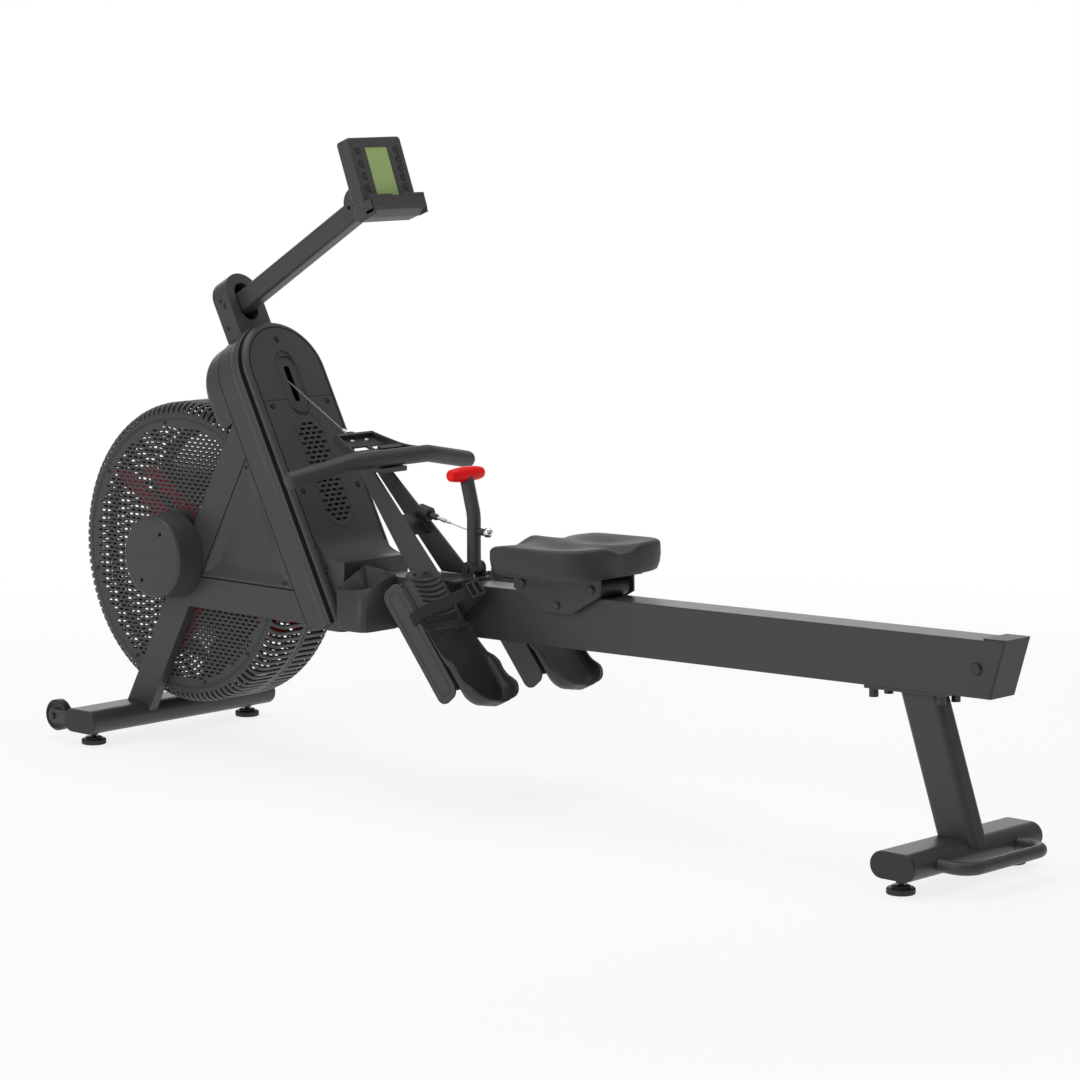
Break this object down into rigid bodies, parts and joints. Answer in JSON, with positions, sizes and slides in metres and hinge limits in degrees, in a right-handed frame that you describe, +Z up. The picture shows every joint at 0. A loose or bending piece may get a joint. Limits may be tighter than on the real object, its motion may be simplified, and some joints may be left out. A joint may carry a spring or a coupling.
{
  "type": "rowing machine",
  "caption": "Air rowing machine: caged fan and leaning column, rail with sliding seat, footboards with straps, cable handle, resistance lever and tilting console.",
  "frame": {"origin": "on the floor, under the middle of the machine's length and width", "axes": "+X from the fan to the rear foot along the rail, +Y to the rower's right, +Z up"},
  "size_m": [2.3971, 0.5288, 1.2813],
  "materials": {
    "frame_coat": "satin powder coat",
    "shell_plastic": "fine grain",
    "black_plastic": "satin",
    "rubber_black": "matt",
    "steel": "zinc plated",
    "bolt_black": "black oxide",
    "fan_red": "gloss",
    "fan_alloy": "as cast",
    "grip_red": "gloss",
    "seat_foam": "moulded skin",
    "strap_fabric": "woven",
    "screen_glass": "lcd"
  },
  "bodies": {
    "frame": {"front_foot": "frame_coat", "rear_foot": "frame_coat", "foot_end_caps": "black_plastic", "leveller_pads": "rubber_black", "frame_fasteners": "bolt_black", "side_frame_left": "frame_coat", "side_frame_right": "frame_coat", "side_panels": "shell_plastic", "hub_covers": "shell_plastic", "cage_left": "shell_plastic", "cage_right": "shell_plastic", "cage_grilles": "shell_plastic", "drive_axles": "steel", "column_shroud": "shell_plastic", "rear_panel": "shell_plastic", "apex_cover": "shell_plastic", "column_beam": "frame_coat", "rail": "frame_coat", "rail_end_cap": "black_plastic", "return_cord": "rubber_black", "rear_leg": "frame_coat", "lift_handle": "frame_coat", "pedal_left": "shell_plastic", "pedal_right": "shell_plastic", "toe_pads": "black_plastic", "foot_straps": "strap_fabric", "pull_cable": "steel", "handle_rest": "frame_coat", "brake_cable": "steel", "bottle_tray": "shell_plastic", "mast_bracket": "frame_coat"},
    "fan": {"fan_hub": "fan_alloy", "fan_blades": "fan_red", "fan_bearings": "steel"},
    "drum": {"drive_drum": "black_plastic"},
    "guide": {"guide_pulley": "black_plastic"},
    "handle": {"handle_bar": "rubber_black", "handle_bracket": "frame_coat"},
    "seat": {"seat_carriage": "frame_coat", "seat_cushion": "seat_foam"},
    "roller_front": {"roller_front": "black_plastic"},
    "roller_rear": {"roller_rear": "black_plastic"},
    "heel_left": {"heel_cup_left": "black_plastic"},
    "heel_right": {"heel_cup_right": "black_plastic"},
    "lever": {"lever_arm": "frame_coat", "lever_grip": "grip_red"},
    "arm": {"console_arm": "frame_coat"},
    "console": {"console_case": "shell_plastic", "console_screen": "screen_glass"},
    "wheel_left": {"wheel_left": "black_plastic"},
    "wheel_right": {"wheel_right": "black_plastic"},
    "key_1": {"key_1": "black_plastic"},
    "key_2": {"key_2": "black_plastic"},
    "key_3": {"key_3": "black_plastic"},
    "key_4": {"key_4": "black_plastic"},
    "key_5": {"key_5": "black_plastic"},
    "key_6": {"key_6": "black_plastic"},
    "key_7": {"key_7": "black_plastic"},
    "key_8": {"key_8": "black_plastic"},
    "key_9": {"key_9": "black_plastic"}
  },
  "joints": [
    {"name": "fan_spin", "type": "hinge", "parent": "frame", "child": "fan", "pos_m": [-0.881, 0, 0.4047], "axis": [0, 1, 0], "continuous": true},
    {"name": "drum_spin", "type": "hinge", "parent": "frame", "child": "drum", "pos_m": [-0.881, 0, 0.4047], "axis": [0, 1, 0], "continuous": true},
    {"name": "guide_spin", "type": "hinge", "parent": "frame", "child": "guide", "pos_m": [-0.69855, 0, 0.76984], "axis": [0, 1, 0], "continuous": true},
    {"name": "handle_pull", "type": "slide", "parent": "frame", "child": "handle", "axis": [0.9903, 0, 0.1392], "range_m": [0, 1.1], "stiffness_N_per_m": 6, "springref_m": -1.5, "deforming": ["pull_cable"]},
    {"name": "seat_slide", "type": "slide", "parent": "frame", "child": "seat", "axis": [0.9997, 0, 0.0227], "range_m": [0, 0.88]},
    {"name": "roller_front_spin", "type": "hinge", "parent": "seat", "child": "roller_front", "pos_m": [0.06233, 0, 0.43335], "axis": [0, 1, 0], "continuous": true},
    {"name": "roller_rear_spin", "type": "hinge", "parent": "seat", "child": "roller_rear", "pos_m": [0.24229, 0, 0.43744], "axis": [0, 1, 0], "continuous": true},
    {"name": "heel_left_slide", "type": "slide", "parent": "frame", "child": "heel_left", "axis": [0.6334, 0, -0.7738], "range_m": [-0.012, 0.03]},
    {"name": "heel_right_slide", "type": "slide", "parent": "frame", "child": "heel_right", "axis": [0.6334, 0, -0.7738], "range_m": [-0.012, 0.03]},
    {"name": "lever_pivot", "type": "hinge", "parent": "frame", "child": "lever", "pos_m": [-0.143, 0.03, 0.434], "axis": [0, 1, 0], "range_deg": [0, 30], "deforming": ["brake_cable"]},
    {"name": "arm_tilt", "type": "hinge", "parent": "frame", "child": "arm", "pos_m": [-0.77881, 0, 0.92653], "axis": [0, 1, 0], "range_deg": [-12, 10]},
    {"name": "console_tilt", "type": "hinge", "parent": "arm", "child": "console", "pos_m": [-0.408, 0, 1.15], "axis": [0, 1, 0], "range_deg": [-15, 15]},
    {"name": "wheel_left_spin", "type": "hinge", "parent": "frame", "child": "wheel_left", "pos_m": [-1.11, -0.234, 0.052], "axis": [0, 1, 0], "continuous": true},
    {"name": "wheel_right_spin", "type": "hinge", "parent": "frame", "child": "wheel_right", "pos_m": [-1.11, 0.234, 0.052], "axis": [0, 1, 0], "continuous": true},
    {"name": "key_1_press", "type": "slide", "parent": "console", "child": "key_1", "axis": [-0.9336, 0, -0.3584], "range_m": [0, 0.001], "stiffness_N_per_m": 400},
    {"name": "key_2_press", "type": "slide", "parent": "console", "child": "key_2", "axis": [-0.9336, 0, -0.3584], "range_m": [0, 0.001], "stiffness_N_per_m": 400},
    {"name": "key_3_press", "type": "slide", "parent": "console", "child": "key_3", "axis": [-0.9336, 0, -0.3584], "range_m": [0, 0.001], "stiffness_N_per_m": 400},
    {"name": "key_4_press", "type": "slide", "parent": "console", "child": "key_4", "axis": [-0.9336, 0, -0.3584], "range_m": [0, 0.001], "stiffness_N_per_m": 400},
    {"name": "key_5_press", "type": "slide", "parent": "console", "child": "key_5", "axis": [-0.9336, 0, -0.3584], "range_m": [0, 0.001], "stiffness_N_per_m": 400},
    {"name": "key_6_press", "type": "slide", "parent": "console", "child": "key_6", "axis": [-0.9336, 0, -0.3584], "range_m": [0, 0.001], "stiffness_N_per_m": 400},
    {"name": "key_7_press", "type": "slide", "parent": "console", "child": "key_7", "axis": [-0.9336, 0, -0.3584], "range_m": [0, 0.001], "stiffness_N_per_m": 400},
    {"name": "key_8_press", "type": "slide", "parent": "console", "child": "key_8", "axis": [-0.9336, 0, -0.3584], "range_m": [0, 0.001], "stiffness_N_per_m": 400},
    {"name": "key_9_press", "type": "slide", "parent": "console", "child": "key_9", "axis": [-0.9336, 0, -0.3584], "range_m": [0, 0.001], "stiffness_N_per_m": 400}
  ],
  "couplings": [
    {"joint": "drum_spin", "follows": "handle_pull", "rad_per_m": 31.25},
    {"joint": "guide_spin", "follows": "handle_pull", "rad_per_m": 31.25},
    {"joint": "roller_front_spin", "follows": "seat_slide", "rad_per_m": 58.824},
    {"joint": "roller_rear_spin", "follows": "seat_slide", "rad_per_m": 58.824}
  ]
}
